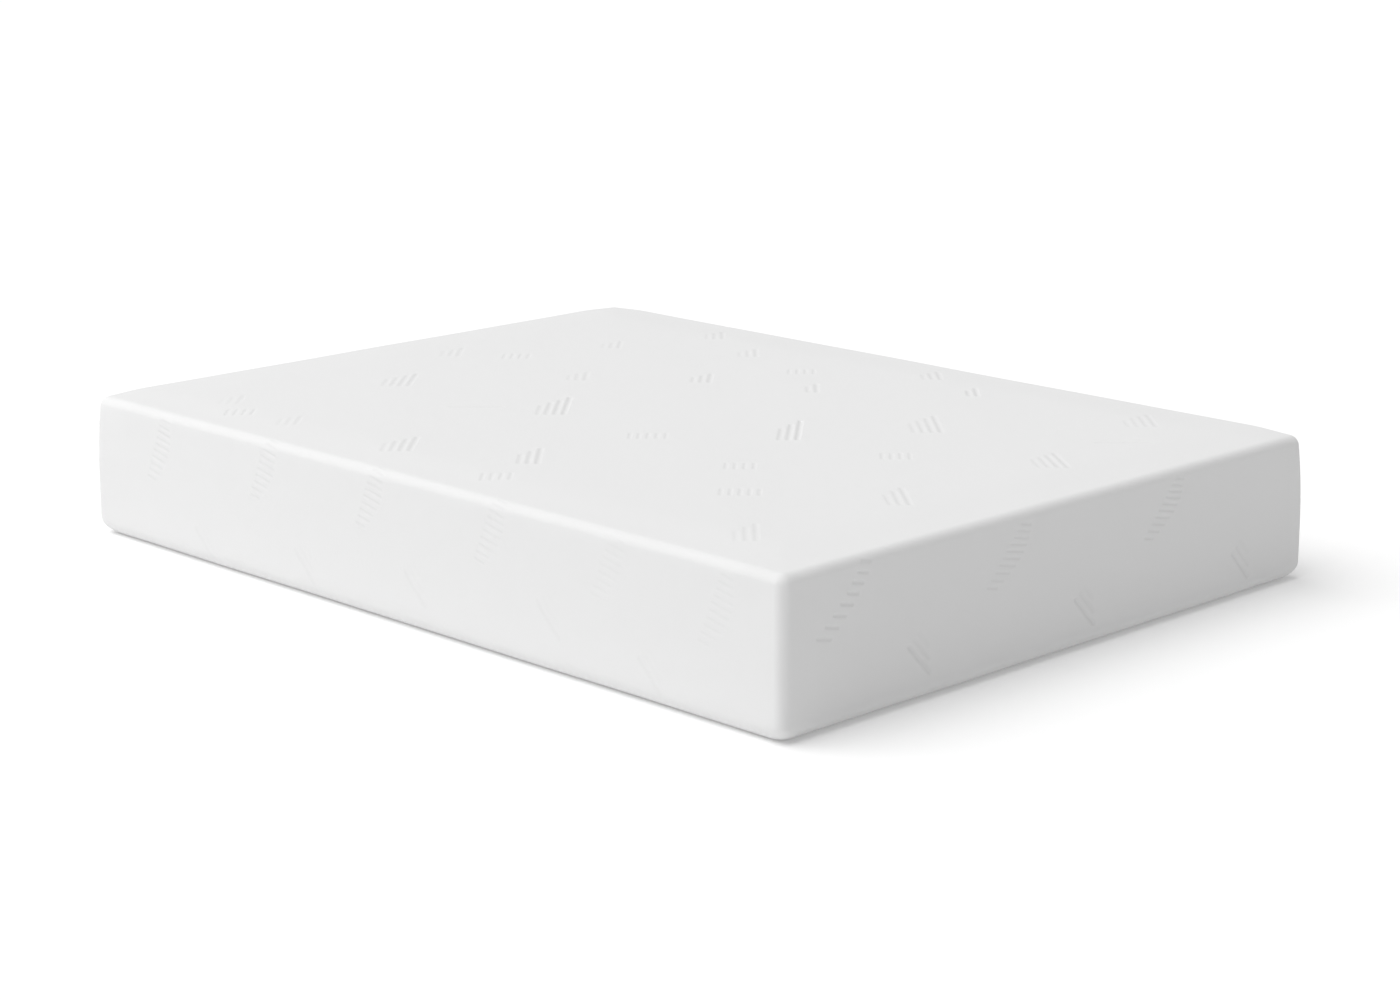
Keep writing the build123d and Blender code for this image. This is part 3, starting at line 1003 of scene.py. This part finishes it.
# Where a Mix node keeps its share, its two colours and its mixed colour
MIX_COLOUR_INPUTS = (0, 6, 7)
MIX_COLOUR_OUTPUT = 2
NODES_ACROSS = 8
NODE_WIDTH = 180.0
NODE_HEIGHT = 220.0


class Nodes:
    """Short forms for making and joining shader nodes in one tree."""

    def __init__(self, tree):
        self.tree = tree

    def new(self, kind):
        """A node in the next free place of the tree's picture."""
        row, column = divmod(len(self.tree.nodes), NODES_ACROSS)
        node = self.tree.nodes.new(kind)
        node.location = (NODE_WIDTH * column, -NODE_HEIGHT * row)
        return node

    def add(self, kind, **inputs):
        """A node of a kind, with its properties and its inputs set or linked."""
        node = self.new(kind)
        for key, value in inputs.items():
            if hasattr(node, key) and key not in node.inputs:
                setattr(node, key, value)
            else:
                self.put(value, node.inputs[key])
        return node

    def put(self, value, socket):
        """Link an output to a socket, or set the socket's own value."""
        if isinstance(value, bpy.types.NodeSocket):
            self.tree.links.new(value, socket)
        else:
            socket.default_value = value

    def math(self, operation, first, second=0.0, third=0.0):
        """The value of a Math node."""
        node = self.add("ShaderNodeMath", operation=operation)
        for value, socket in zip((first, second, third), node.inputs):
            self.put(value, socket)
        return node.outputs[0]

    def mix(self, share, first, second):
        """The colour between two colours."""
        node = self.add("ShaderNodeMix", data_type="RGBA")
        for value, index in zip((share, first, second), MIX_COLOUR_INPUTS):
            self.put(value, node.inputs[index])
        return node.outputs[MIX_COLOUR_OUTPUT]


def new_group(name, numbers, outputs):
    """A shader node group that turns a place and named numbers into other numbers: returns its
    nodes helper, what it is given and what it puts out."""
    group = bpy.data.node_groups.new(name, "ShaderNodeTree")
    group.interface.new_socket("Place", in_out="INPUT", socket_type="NodeSocketVector")
    for label, value in numbers.items():
        socket = group.interface.new_socket(label, in_out="INPUT", socket_type="NodeSocketFloat")
        socket.default_value = value
    for label in outputs:
        group.interface.new_socket(label, in_out="OUTPUT", socket_type="NodeSocketFloat")
    nodes = Nodes(group)
    return nodes, nodes.add("NodeGroupInput").outputs, nodes.add("NodeGroupOutput").inputs


def knit_group(name):
    """Rows of knitted loops: V-shaped stitches in upright columns, with the painted shade of their
    hollows.
    """
    sizes = {"Loop width": 0.0016, "Loop height": 0.0011}
    nodes, given, result = new_group(name, sizes, ("Height", "Hollow"))
    place = nodes.add("ShaderNodeSeparateXYZ", Vector=given["Place"]).outputs
    column = nodes.math("DIVIDE", place[0], given["Loop width"])
    course = nodes.math("DIVIDE", place[1], given["Loop height"])
    slant = nodes.math("PINGPONG", column, 0.5)
    leaning = nodes.math("MULTIPLY_ADD", slant, 1.3, course)
    thread = nodes.math("PINGPONG", leaning, 0.5)
    groove = nodes.math("SINE", nodes.math("MULTIPLY", slant, 2.0 * HALF_TURN))
    rib = nodes.math("MULTIPLY", nodes.math("ABSOLUTE", groove), 0.55)
    height = nodes.math("ADD", nodes.math("MULTIPLY", thread, 0.9), rib)
    nodes.put(height, result["Height"])
    # Painted shade: the lower a place lies in the loops, the darker the yarn is painted there.
    hollow_shade = nodes.math("SUBTRACT", 1.0, height)
    hollow_shade.node.use_clamp = True
    nodes.put(hollow_shade, result["Hollow"])
    return nodes.tree


def fibre_group(name):
    """Fine hair and slow unevenness that any cloth or foam has."""
    scales = {"Fine scale": 900.0, "Broad scale": 5.0}
    nodes, given, result = new_group(name, scales, ("Fine", "Broad"))
    for label, detail in (("Fine", 3.0), ("Broad", 2.0)):
        scale = given[f"{label} scale"]
        noise = nodes.add("ShaderNodeTexNoise", Vector=given["Place"], Scale=scale, Detail=detail)
        nodes.put(noise.outputs["Fac"], result[label])
    return nodes.tree


def twill_group(name):
    """Slanting ridges of a woven tape."""
    nodes, given, result = new_group(name, {"Ridge": 0.0009}, ("Height",))
    place = nodes.add("ShaderNodeSeparateXYZ", Vector=given["Place"]).outputs
    level = nodes.math("ADD", place[0], place[1])
    slope = nodes.math("ADD", nodes.math("PINGPONG", place[2], 0.0035), level)
    turns = nodes.math("DIVIDE", slope, given["Ridge"])
    wave = nodes.math("SINE", nodes.math("MULTIPLY", turns, 2.0 * HALF_TURN))
    nodes.put(nodes.math("MULTIPLY_ADD", wave, 0.5, 0.5), result["Height"])
    return nodes.tree


def foam_group(name):
    """Open cells of cut foam, with a few larger pores."""
    nodes, given, result = new_group(name, {"Cells": 500.0}, ("Height", "Pore"))
    coarse = nodes.math("MULTIPLY", given["Cells"], 0.17)
    cells, pits = (
        nodes.add("ShaderNodeTexVoronoi", Vector=given["Place"], Scale=scale).outputs["Distance"]
        for scale in (given["Cells"], coarse)
    )
    nodes.put(cells, result["Height"])
    nodes.put(nodes.math("LESS_THAN", pits, 0.11), result["Pore"])
    return nodes.tree


GROUP_MAKERS = {
    "Knit loops": knit_group, "Fibre": fibre_group, "Twill": twill_group,
    "Foam cells": foam_group,
}


def place_group(nodes, name, **inputs):
    """The outputs of a shared node group, made the first time it is placed in a material."""
    node = nodes.new("ShaderNodeGroup")
    node.node_tree = bpy.data.node_groups.get(name) or GROUP_MAKERS[name](name)
    for label, value in inputs.items():
        nodes.put(value, node.inputs[label.replace("_", " ")])
    return node.outputs


def new_material(name):
    """A material with only its output and a Principled shader."""
    material = bpy.data.materials.new(name)
    material.use_nodes = True
    material.node_tree.nodes.clear()
    nodes = Nodes(material.node_tree)
    shader = nodes.add("ShaderNodeBsdfPrincipled")
    output = nodes.add("ShaderNodeOutputMaterial")
    nodes.put(shader.outputs[0], output.inputs["Surface"])
    return material, nodes, shader.inputs


def fibre_material(name, **scales):
    """A new material with its place on the piece and the fibre that every finish has."""
    material, nodes, shader = new_material(name)
    space = nodes.add("ShaderNodeTexCoord").outputs["Object"]
    return material, nodes, shader, space, place_group(nodes, "Fibre", Place=space, **scales)


def dress(nodes, shader, body, rough, relief):
    """Join a colour, a roughness and a relief to a shader. The roughness is a mask with how much
    it adds and to what, and the relief is a height with its strength and distance."""
    height, strength, distance = relief
    bump = nodes.add("ShaderNodeBump", Height=height, Strength=strength, Distance=distance)
    nodes.put(body, shader["Base Color"])
    nodes.put(nodes.math("MULTIPLY_ADD", *rough), shader["Roughness"])
    nodes.put(bump.outputs[0], shader["Normal"])


def colour(rgb):
    """A colour with full alpha."""
    return (*tuple(rgb)[:3], 1.0)


def tinted(rgb, share):
    """A colour made darker or lighter by a share."""
    return colour([min(1.0, c * share) for c in rgb])


def knit_material(pattern):
    """White knitted cover: fine loops, soft sheen, painted shade in the hollows between the loops
    and in the sunk ribs.
    """
    material, nodes, shader, _, fibre = fibre_material("Knitted cover")
    place = nodes.add("ShaderNodeUVMap", uv_map=CLOTH_MAP).outputs["UV"]
    sunk = nodes.add("ShaderNodeAttribute", attribute_name=GROOVE_SHADE_MASK).outputs["Fac"]
    loops = place_group(nodes, "Knit loops", Place=place)
    rgb = pattern.yarn_colour
    # Painted shade: the yarn is painted darker in the hollows between the loops.
    yarn = nodes.mix(loops["Hollow"], colour(rgb), tinted(rgb, 0.95))
    uneven = nodes.math("MULTIPLY_ADD", fibre["Broad"], 0.5, -0.05)
    yarn = nodes.mix(uneven, yarn, tinted(rgb, 0.975))
    # Painted shade: the sunk ribs are painted greyer through the groove mask.
    yarn = nodes.mix(sunk, yarn, colour(pattern.sunk_shade_colour))
    shader["Sheen Weight"].default_value = 0.05
    shader["Sheen Roughness"].default_value = 0.5
    shader["Specular IOR Level"].default_value = 0.08
    surface = nodes.math("MULTIPLY_ADD", fibre["Fine"], 0.35, loops["Height"])
    dress(nodes, shader, yarn, (fibre["Fine"], 0.12, 0.82), (surface, 0.35, 0.0004))
    return material


def cloth_material(name, rgb, ridge, roughness):
    """Plain woven or bonded cloth with slanting ridges, with painted shade between the ridges."""
    material, nodes, shader, space, fibre = fibre_material(name)
    height = place_group(nodes, "Twill", Place=space, Ridge=ridge)["Height"]
    # Painted shade: the cloth is painted darker between the twill's ridges.
    yarn = nodes.mix(height, tinted(rgb, 0.9), colour(rgb))
    yarn = nodes.mix(nodes.math("MULTIPLY", fibre["Broad"], 0.4), yarn, tinted(rgb, 0.96))
    shader["Sheen Weight"].default_value = 0.08
    surface = nodes.math("MULTIPLY_ADD", fibre["Fine"], 0.4, height)
    dress(nodes, shader, yarn, (fibre["Fine"], 0.12, roughness - 0.06), (surface, 0.4, 0.0002))
    return material


def foam_material(name, rgb, cells):
    """Cut foam: fine open cells with a few larger pores, which are painted darker as shade."""
    material, nodes, shader, space, fibre = fibre_material(name)
    foam = place_group(nodes, "Foam cells", Place=space, Cells=cells)
    # Painted shade: the larger pores are painted darker.
    body = nodes.mix(foam["Pore"], colour(rgb), tinted(rgb, 0.86))
    body = nodes.mix(nodes.math("MULTIPLY", fibre["Broad"], 0.5), body, tinted(rgb, 0.96))
    surface = nodes.math("SUBTRACT", foam["Height"], foam["Pore"])
    dress(nodes, shader, body, (fibre["Fine"], 0.1, 0.85), (surface, 0.5, 0.0005))
    return material


def hard_material(name, rgb, roughness, metallic=0.0):
    """Nylon, glue or enamelled metal with fine handling marks."""
    material, nodes, shader, _, fibre = fibre_material(
        name, Fine_scale=2500.0, Broad_scale=160.0
    )
    body = nodes.mix(fibre["Broad"], tinted(rgb, 0.94), colour(rgb))
    shader["Metallic"].default_value = metallic
    rough = (fibre["Broad"], 0.2, roughness - 0.1)
    dress(nodes, shader, body, rough, (fibre["Fine"], 0.1, 0.00005))
    return material


# ---------------------------------------------------------------- operators


class MATTRESS_OT_cover(bpy.types.Operator):
    """Build the knitted cover with its sunk pattern and the zip's opening"""

    bl_idname = "mattress.cover"
    bl_label = "Knitted cover"

    def execute(self, context):
        scene = context.scene
        form = CoverForm(scene.mattress_form)
        points, faces, mask, flat = cover_shell(form, scene.mattress_knit, scene.mattress_zip)
        cover = new_piece("knitted_cover", points, faces, knit_material(scene.mattress_knit))
        mesh = cover.data
        # The groove mask carries the painted shade of the sunk ribs.
        mesh.attributes.new(GROOVE_SHADE_MASK, "FLOAT", "POINT").data.foreach_set("value", mask)
        layer = mesh.uv_layers.new(name=CLOTH_MAP)
        corners = np.empty(len(mesh.loops), np.int32)
        mesh.loops.foreach_get("vertex_index", corners)
        layer.data.foreach_set("uv", form.weave(flat)[corners].ravel())
        settle(cover, "mattress", "knit_cover", "cover_cap")
        return {"FINISHED"}


# How far the base cloth's two faces stay inside the base panel's height
BASE_INSET = 0.0004
BASE_STITCH_PITCH = 0.0055
# The points of one stitch of the base seam: outwards, ahead and up from the seam
BASE_STITCH = ((0.0016, -0.0012, 0.0), (0.0005, -0.0004, -0.0003), (-0.0028, 0.0012, 0.0))


class MATTRESS_OT_base(bpy.types.Operator):
    """Build the plain cloth sewn into the cover's hem underneath, and the seam's stitches"""

    bl_idname = "mattress.base"
    bl_label = "Base cloth"

    def execute(self, context):
        scene = context.scene
        finish, style = scene.mattress_finish, scene.mattress_zip
        form = CoverForm(scene.mattress_form)
        edge, outward = stations(form, 0.03)
        rim, _ = form.place(edge + outward * form.last_run)
        rim[:, :2] -= outward * 0.0002
        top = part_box("cover_base_panel")[1].z
        plan, faces = triangulate(np.vstack([rim[:, :2], top_lattice(form, 0.06) * 0.96]))
        count = len(plan)
        ripple = 0.0002 * np.sin(plan[:, 0] * 31.0) * np.sin(plan[:, 1] * 27.0)
        levels = (BASE_INSET, top - BASE_INSET)
        points = np.vstack([np.column_stack([plan, level + ripple]) for level in levels])
        closing = [(b, a, a + count, b + count) for a, b in rim_edges(faces)]
        every_face = faces[:, ::-1].tolist() + (faces + count).tolist() + closing
        cloth = cloth_material("Base cloth", finish.base_cloth, 0.0011, 0.9)
        base = new_piece("base_cloth_panel", points, every_face, cloth)
        settle(base, "mattress", "base_cloth", "cover_base_panel")

        run = distances(rim)
        at = np.arange(0.0, run[-1], BASE_STITCH_PITCH)
        spots = pick(at, (run, rim))
        sideways = pick(at, (run, np.column_stack([outward, np.zeros(len(outward))])))
        parts = []
        for spot, side, step in zip(spots, sideways, unit(np.gradient(spots, axis=0))):
            path = [spot + side * out + step * on + (0.0, 0.0, up) for out, on, up in BASE_STITCH]
            parts.append(tube(path, style.thread_width * 0.45, 4))
        thread = hard_material("Sewing thread", finish.thread, 0.7)
        stitches = new_piece("base_seam_stitches", *join_meshes(parts), thread)
        settle(stitches, "mattress", "base_cloth")
        return {"FINISHED"}


# How far inside the cover's inner face the fire sock's two faces and the foams lie
SOCK_OUTSIDE = 0.0008
SOCK_INSIDE = 0.0012
FOAM_INSET = 0.0013
# The foams from the top: name, size of cells
FOAMS = (("memory", 900.0), ("comfort", 620.0), ("support", 450.0))


class MATTRESS_OT_core(bpy.types.Operator):
    """Build the fire sock, the three foams and the glue between them"""

    bl_idname = "mattress.core"
    bl_label = "Foam core"

    def execute(self, context):
        scene = context.scene
        finish = scene.mattress_finish
        form = CoverForm(scene.mattress_form)
        cloth = scene.mattress_form.cloth_thickness
        outer = inner_solid(form, cloth + SOCK_OUTSIDE)
        inner_points, inner_faces = inner_solid(form, cloth + SOCK_INSIDE)
        both = join_meshes([outer, (inner_points, [face[::-1] for face in inner_faces])])
        knit = cloth_material("Fire sock knit", finish.sock, 0.0016, 0.95)
        sock = new_piece("fire_sock_knit", *both, knit, weld=True)
        settle(sock, "mattress", "sock_knit", "fire_sock")
        lower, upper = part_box("glue_film_lower"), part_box("glue_film_upper")
        heights = ((upper[1].z, None), (lower[1].z, upper[0].z), (None, lower[0].z))
        inset = cloth + FOAM_INSET
        for (kind, cells), (low, high) in zip(FOAMS, heights):
            slot = f"{kind}_foam"
            material = foam_material(f"{kind.capitalize()} foam", getattr(finish, slot), cells)
            solid = inner_solid(form, inset, low, high)
            foam = new_piece(f"{slot}_core", *solid, material, weld=True)
            settle(foam, "mattress", slot, f"{slot}_layer")
        glue = hard_material("Foam glue", finish.glue, 0.45)
        for level, (low, high) in (("lower", lower), ("upper", upper)):
            solid = inner_solid(form, inset, low.z, high.z)
            film = new_piece(f"glue_{level}", *solid, glue, weld=True)
            settle(film, "mattress", "foam_glue", f"glue_film_{level}")
        return {"FINISHED"}


class MATTRESS_OT_zip(bpy.types.Operator):
    """Build the zip's coils, stitching and end tabs, and colour its tapes, slider and pull"""

    bl_idname = "mattress.zip"
    bl_label = "Zip"

    def execute(self, context):
        scene = context.scene
        style, finish = scene.mattress_zip, scene.mattress_finish
        form = CoverForm(scene.mattress_form)
        zip_line = ZipLine(form, style)
        rows = (("upper", 1), ("lower", -1))
        nylon = hard_material("Zip coil", finish.zip_coil, 0.4)
        for name, way in rows:
            node = f"zip_coil_{name}"
            row = new_piece(f"coil_{name}", *coil(form, zip_line, style, node, way), nylon)
            settle(row, "mattress", "zip_coil", node)

        thread = hard_material("Zip thread", finish.thread, 0.7)
        away = style.slot_height / 2.0 + SEAM_OFFSET
        for name, way in rows:
            spots, normals = zip_path(form, zip_line, zip_line.height + way * away, SEAM_SINK)
            row = new_piece(f"zip_stitches_{name}", *stitch_row(spots, normals, style), thread)
            settle(row, "mattress", "knit_cover")

        tape = cloth_material("Zip tape", finish.zip_tape, 0.0008, 0.8)
        metal = hard_material("Zip metal", finish.zip_metal, 0.42, metallic=0.85)
        for node, slot, material in (
            ("zip_tape_upper", "zip_tape", tape), ("zip_tape_lower", "zip_tape", tape),
            ("zip_slider", "zip_metal", metal), ("zip_pull", "zip_metal", metal),
        ):
            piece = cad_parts[node]
            piece.data.materials.clear()
            piece.data.materials.append(material)

        for node, side_name in (("zip_end_tab_side", "right"), ("zip_end_tab_head", "head")):
            sew_patch(form, style, TAB, node, side_name, tape, thread)
        return {"FINISHED"}


class MATTRESS_OT_labels(bpy.types.Operator):
    """Build the two blank labels and the stitches that hold them"""

    bl_idname = "mattress.labels"
    bl_label = "Labels"

    def execute(self, context):
        scene = context.scene
        style, finish = scene.mattress_zip, scene.mattress_finish
        form = CoverForm(scene.mattress_form)
        satin = cloth_material("Label cloth", finish.label, 0.0006, 0.6)
        thread = hard_material("Label thread", finish.thread, 0.7)
        for node, side_name in (("law_label", "head"), ("care_label", "right")):
            sew_patch(form, style, LABEL, node, side_name, satin, thread)
        return {"FINISHED"}


WHITE = (1.0, 1.0, 1.0, 1.0)
FLOOR_REACH = 60.0
FLOOR_CORNERS = ((-1, -1), (1, -1), (1, 1), (-1, 1))
KEY_DISTANCE = 4.0
CLIP_END = 200.0


def standing(azimuth, elevation):
    """The direction from the mattress to something that looks along an azimuth: 0 looks along
    +Y, and a positive turn goes towards -X."""
    flat = math.cos(elevation)
    return Vector((math.sin(azimuth) * flat, -math.cos(azimuth) * flat, math.sin(elevation)))


def stand(scene, name, data, place, back):
    """A light or a camera at a place, with its back turned to a direction."""
    thing = bpy.data.objects.new(name, data)
    thing.location = place
    thing.rotation_euler = back.to_track_quat("Z", "Y").to_euler()
    scene.collection.objects.link(thing)
    return thing


class MATTRESS_OT_stage(bpy.types.Operator):
    """Build the floor, the soft light and the camera"""

    bl_idname = "mattress.stage"
    bl_label = "Stage"

    def execute(self, context):
        scene = context.scene
        stage = scene.mattress_stage
        points = [(x * FLOOR_REACH, y * FLOOR_REACH, 0) for x, y in FLOOR_CORNERS]
        material, nodes, shader = new_material("Floor")
        place = nodes.add("ShaderNodeTexCoord").outputs["Object"]
        grain = nodes.add("ShaderNodeTexNoise", Vector=place, Scale=2.0).outputs["Fac"]
        rgb = stage.floor_colour
        nodes.put(nodes.mix(grain, tinted(rgb, 0.998), colour(rgb)), shader["Base Color"])
        shader["Roughness"].default_value = 1.0
        shader["Specular IOR Level"].default_value = 0.0
        # Painted light: the floor glows, though it is no lamp, and this lifts the shadows cast on
        # it.
        shader["Emission Color"].default_value = WHITE
        shader["Emission Strength"].default_value = stage.floor_glow
        new_piece("floor", points, [(0, 1, 2, 3)], material)

        world = bpy.data.worlds.new("Studio")
        world.use_nodes = True
        sky = world.node_tree.nodes["Background"].inputs
        sky["Color"].default_value = WHITE
        sky["Strength"].default_value = stage.sky_strength
        scene.world = world

        key = bpy.data.lights.new("Key", "SUN")
        key.energy = stage.key_strength
        key.angle = stage.key_spread
        back = standing(stage.key_azimuth, stage.key_elevation)
        stand(scene, "Key", key, back * KEY_DISTANCE, back)

        fill = bpy.data.lights.new("Fill", "AREA")
        fill.energy = stage.fill_power
        fill.shape = "SQUARE"
        fill.size = stage.fill_size
        stand(scene, "Fill", fill, stage.fill_place, Vector(stage.fill_place))

        lens = bpy.data.cameras.new("Camera")
        lens.lens = stage.camera_lens
        lens.clip_end = CLIP_END
        back = standing(stage.camera_azimuth, stage.camera_elevation)
        place = Vector(stage.camera_aim) + back * stage.camera_distance
        scene.camera = stand(scene, "Camera", lens, place, back)
        scene.view_settings.view_transform = "Standard"
        return {"FINISHED"}


class MATTRESS_PT_panel(bpy.types.Panel):
    """Lists the mattress's settings and steps"""

    bl_label = "Memory foam mattress"
    bl_space_type = "VIEW_3D"
    bl_region_type = "UI"
    bl_category = "Mattress"

    def draw(self, context):
        scene = context.scene
        for group in (getattr(scene, name) for name in SETTINGS):
            box = self.layout.box()
            for name in group.__annotations__:
                box.prop(group, name)
        for operator in OPERATORS:
            self.layout.operator(operator.bl_idname)


SETTINGS = {
    "mattress_form": MattressForm,
    "mattress_knit": KnitPattern,
    "mattress_zip": ZipStyle,
    "mattress_finish": Finish,
    "mattress_stage": StudioStage,
}
OPERATORS = (
    MATTRESS_OT_stage,
    MATTRESS_OT_cover,
    MATTRESS_OT_core,
    MATTRESS_OT_base,
    MATTRESS_OT_zip,
    MATTRESS_OT_labels,
)


def register():
    for group in SETTINGS.values():
        bpy.utils.register_class(group)
    for operator in OPERATORS:
        bpy.utils.register_class(operator)
    bpy.utils.register_class(MATTRESS_PT_panel)
    for name, group in SETTINGS.items():
        setattr(bpy.types.Scene, name, PointerProperty(type=group))


def unregister():
    for name in SETTINGS:
        delattr(bpy.types.Scene, name)
    bpy.utils.unregister_class(MATTRESS_PT_panel)
    for kind in (*reversed(OPERATORS), *reversed(SETTINGS.values())):
        bpy.utils.unregister_class(kind)


def main():
    """Build everything in order."""
    register()
    bpy.ops.mattress.stage()
    bpy.ops.mattress.cover()
    bpy.ops.mattress.core()
    bpy.ops.mattress.base()
    bpy.ops.mattress.zip()
    bpy.ops.mattress.labels()


if __name__ == "__main__":
    main()
